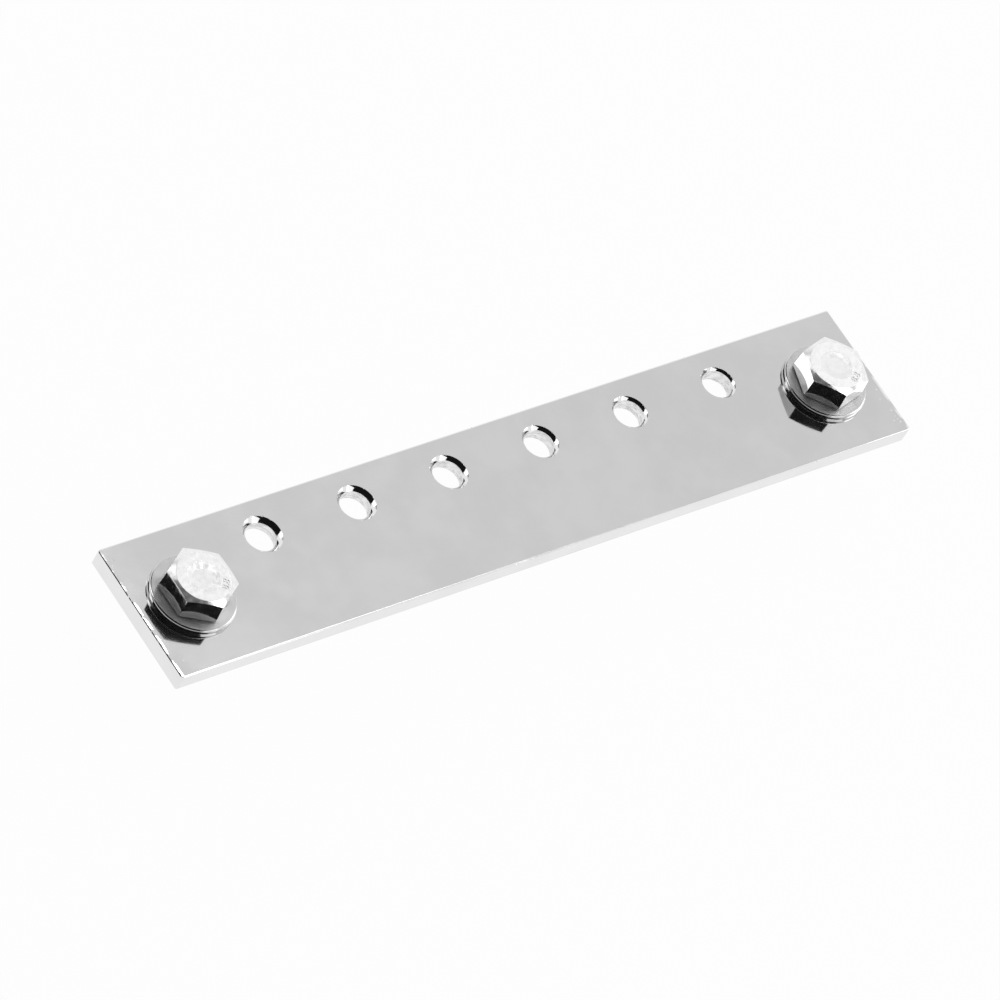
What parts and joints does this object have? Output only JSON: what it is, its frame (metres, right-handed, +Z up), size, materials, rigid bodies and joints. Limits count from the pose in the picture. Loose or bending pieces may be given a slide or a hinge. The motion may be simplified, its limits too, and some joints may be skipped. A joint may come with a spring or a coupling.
{
  "type": "bus bar",
  "caption": "Flat plated bus bar with a row of chamfered terminal holes along one edge and a hexagon fixing bolt with a plain washer at each end.",
  "frame": {"origin": "centre of the bar's underside, midway between the two fixing bolts", "axes": "+X along the bar, +Y to the edge with the terminal holes, +Z up through the bar to the bolt heads"},
  "size_m": [0.24, 0.04, 0.0266],
  "materials": {
    "plated_bar": "polished",
    "plated_bolt": "polished",
    "plated_washer": "polished"
  },
  "bodies": {
    "root": {"bar": "plated_bar", "left_washer": "plated_washer", "right_washer": "plated_washer", "left_bolt": "plated_bolt", "right_bolt": "plated_bolt"}
  },
  "joints": []
}
